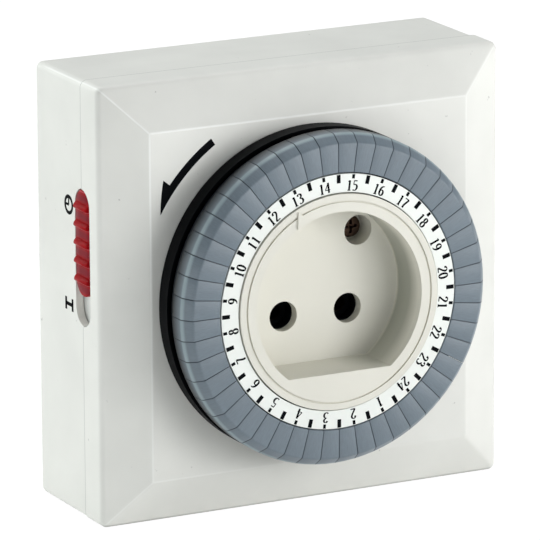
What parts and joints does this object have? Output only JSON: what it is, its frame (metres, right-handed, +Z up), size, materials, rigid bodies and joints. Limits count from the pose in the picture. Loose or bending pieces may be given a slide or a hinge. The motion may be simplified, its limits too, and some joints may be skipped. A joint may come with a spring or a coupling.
{
  "type": "plug-in timer switch",
  "caption": "Square wall timer with a 24-hour tappet dial round a two-pin socket, a side override slide and a two-pin plug behind.",
  "frame": {"origin": "on the bottom face, under the dial's axis, half way through the case's depth", "axes": "+X right, +Y towards the wall (out of the rear plug), +Z up; the dial faces -Y"},
  "size_m": [0.1194, 0.0936, 0.1186],
  "materials": {
    "case_plastic": "fine moulded, off-white",
    "insert_plastic": "smooth, warm white",
    "screw_steel": "zinc plated",
    "dial_black": "moulded black",
    "ring_white": "printed white",
    "gear_plastic": "natural acetal",
    "brass": "plain",
    "motor_steel": "plated can",
    "chassis_plastic": "moulded grey",
    "switch_black": "moulded black",
    "pin_nickel": "nickel-plated brass",
    "slider_red": "moulded red",
    "tappet_grey": "moulded blue-grey"
  },
  "bodies": {
    "case": {"front_cover": "case_plastic", "rear_housing": "case_plastic", "socket_insert": "insert_plastic", "insert_screw": "screw_steel", "case_screws": "screw_steel", "reduction_arbor": "screw_steel", "motor_bush": "brass", "motor_can": "motor_steel", "chassis_plate": "chassis_plastic", "feeler_pivot": "screw_steel", "micro_switch": "switch_black", "contact_sleeve_left": "brass", "contact_sleeve_right": "brass", "plug_pin_left": "pin_nickel", "plug_pin_right": "pin_nickel", "neutral_strip": "brass", "live_strip_out": "brass", "live_strip_in": "brass", "pin_carrier": "chassis_plastic", "slide_guide": "chassis_plastic"},
    "dial": {"dial_carrier": "dial_black", "number_ring": "ring_white", "dial_gear": "gear_plastic"},
    "reduction": {"reduction_gear": "gear_plastic"},
    "motor_output": {"motor_pinion": "gear_plastic", "motor_shaft": "screw_steel"},
    "feeler": {"feeler_lever": "gear_plastic"},
    "plunger": {"switch_plunger": "gear_plastic"},
    "side_switch": {"slide_knob": "slider_red", "slide_base": "ring_white"},
    "tappets_hour_01": {"tappets_hour_01": "tappet_grey"},
    "tappets_hour_02": {"tappets_hour_02": "tappet_grey"},
    "tappets_hour_03": {"tappets_hour_03": "tappet_grey"},
    "tappets_hour_04": {"tappets_hour_04": "tappet_grey"},
    "tappets_hour_05": {"tappets_hour_05": "tappet_grey"},
    "tappets_hour_06": {"tappets_hour_06": "tappet_grey"},
    "tappets_hour_07": {"tappets_hour_07": "tappet_grey"},
    "tappets_hour_08": {"tappets_hour_08": "tappet_grey"},
    "tappets_hour_09": {"tappets_hour_09": "tappet_grey"},
    "tappets_hour_10": {"tappets_hour_10": "tappet_grey"},
    "tappets_hour_11": {"tappets_hour_11": "tappet_grey"},
    "tappets_hour_12": {"tappets_hour_12": "tappet_grey"},
    "tappets_hour_13": {"tappets_hour_13": "tappet_grey"},
    "tappets_hour_14": {"tappets_hour_14": "tappet_grey"},
    "tappets_hour_15": {"tappets_hour_15": "tappet_grey"},
    "tappets_hour_16": {"tappets_hour_16": "tappet_grey"},
    "tappets_hour_17": {"tappets_hour_17": "tappet_grey"},
    "tappets_hour_18": {"tappets_hour_18": "tappet_grey"},
    "tappets_hour_19": {"tappets_hour_19": "tappet_grey"},
    "tappets_hour_20": {"tappets_hour_20": "tappet_grey"},
    "tappets_hour_21": {"tappets_hour_21": "tappet_grey"},
    "tappets_hour_22": {"tappets_hour_22": "tappet_grey"},
    "tappets_hour_23": {"tappets_hour_23": "tappet_grey"},
    "tappets_hour_24": {"tappets_hour_24": "tappet_grey"}
  },
  "joints": [
    {"name": "dial_spin", "type": "hinge", "parent": "case", "child": "dial", "pos_m": [0, -0.02235, 0.0593], "axis": [0, -1, 0], "continuous": true},
    {"name": "reduction_spin", "type": "hinge", "parent": "case", "child": "reduction", "pos_m": [0.03734, -0.01435, 0.09663], "axis": [0, -1, 0], "continuous": true},
    {"name": "motor_spin", "type": "hinge", "parent": "case", "child": "motor_output", "pos_m": [0.02054, -0.01035, 0.09663], "axis": [0, -1, 0], "continuous": true},
    {"name": "feeler_tilt", "type": "hinge", "parent": "case", "child": "feeler", "pos_m": [-0.047, -0.00685, 0.0393], "axis": [0, 0, 1], "range_deg": [0, 7]},
    {"name": "plunger_slide", "type": "slide", "parent": "case", "child": "plunger", "axis": [0, 1, 0], "range_m": [0, 0.00134], "stiffness_N_per_m": 400},
    {"name": "side_switch_slide", "type": "slide", "parent": "case", "child": "side_switch", "axis": [0, 0, -1], "range_m": [0, 0.0078]},
    {"name": "push_hour_01", "type": "slide", "parent": "dial", "child": "tappets_hour_01", "axis": [0, 1, 0], "range_m": [0, 0.003]},
    {"name": "push_hour_02", "type": "slide", "parent": "dial", "child": "tappets_hour_02", "axis": [0, 1, 0], "range_m": [0, 0.003]},
    {"name": "push_hour_03", "type": "slide", "parent": "dial", "child": "tappets_hour_03", "axis": [0, 1, 0], "range_m": [0, 0.003]},
    {"name": "push_hour_04", "type": "slide", "parent": "dial", "child": "tappets_hour_04", "axis": [0, 1, 0], "range_m": [0, 0.003]},
    {"name": "push_hour_05", "type": "slide", "parent": "dial", "child": "tappets_hour_05", "axis": [0, 1, 0], "range_m": [0, 0.003]},
    {"name": "push_hour_06", "type": "slide", "parent": "dial", "child": "tappets_hour_06", "axis": [0, 1, 0], "range_m": [0, 0.003]},
    {"name": "push_hour_07", "type": "slide", "parent": "dial", "child": "tappets_hour_07", "axis": [0, 1, 0], "range_m": [0, 0.003]},
    {"name": "push_hour_08", "type": "slide", "parent": "dial", "child": "tappets_hour_08", "axis": [0, 1, 0], "range_m": [0, 0.003]},
    {"name": "push_hour_09", "type": "slide", "parent": "dial", "child": "tappets_hour_09", "axis": [0, 1, 0], "range_m": [0, 0.003]},
    {"name": "push_hour_10", "type": "slide", "parent": "dial", "child": "tappets_hour_10", "axis": [0, 1, 0], "range_m": [0, 0.003]},
    {"name": "push_hour_11", "type": "slide", "parent": "dial", "child": "tappets_hour_11", "axis": [0, 1, 0], "range_m": [0, 0.003]},
    {"name": "push_hour_12", "type": "slide", "parent": "dial", "child": "tappets_hour_12", "axis": [0, 1, 0], "range_m": [0, 0.003]},
    {"name": "push_hour_13", "type": "slide", "parent": "dial", "child": "tappets_hour_13", "axis": [0, 1, 0], "range_m": [0, 0.003]},
    {"name": "push_hour_14", "type": "slide", "parent": "dial", "child": "tappets_hour_14", "axis": [0, 1, 0], "range_m": [0, 0.003]},
    {"name": "push_hour_15", "type": "slide", "parent": "dial", "child": "tappets_hour_15", "axis": [0, 1, 0], "range_m": [0, 0.003]},
    {"name": "push_hour_16", "type": "slide", "parent": "dial", "child": "tappets_hour_16", "axis": [0, 1, 0], "range_m": [0, 0.003]},
    {"name": "push_hour_17", "type": "slide", "parent": "dial", "child": "tappets_hour_17", "axis": [0, 1, 0], "range_m": [0, 0.003]},
    {"name": "push_hour_18", "type": "slide", "parent": "dial", "child": "tappets_hour_18", "axis": [0, 1, 0], "range_m": [0, 0.003]},
    {"name": "push_hour_19", "type": "slide", "parent": "dial", "child": "tappets_hour_19", "axis": [0, 1, 0], "range_m": [0, 0.003]},
    {"name": "push_hour_20", "type": "slide", "parent": "dial", "child": "tappets_hour_20", "axis": [0, 1, 0], "range_m": [0, 0.003]},
    {"name": "push_hour_21", "type": "slide", "parent": "dial", "child": "tappets_hour_21", "axis": [0, 1, 0], "range_m": [0, 0.003]},
    {"name": "push_hour_22", "type": "slide", "parent": "dial", "child": "tappets_hour_22", "axis": [0, 1, 0], "range_m": [0, 0.003]},
    {"name": "push_hour_23", "type": "slide", "parent": "dial", "child": "tappets_hour_23", "axis": [0, 1, 0], "range_m": [0, 0.003]},
    {"name": "push_hour_24", "type": "slide", "parent": "dial", "child": "tappets_hour_24", "axis": [0, 1, 0], "range_m": [0, 0.003]}
  ],
  "couplings": [
    {"joint": "reduction_spin", "follows": "dial_spin", "ratio": -5.6},
    {"joint": "motor_spin", "follows": "dial_spin", "ratio": 14},
    {"joint": "feeler_tilt", "follows": "plunger_slide", "rad_per_m": 90.909}
  ]
}
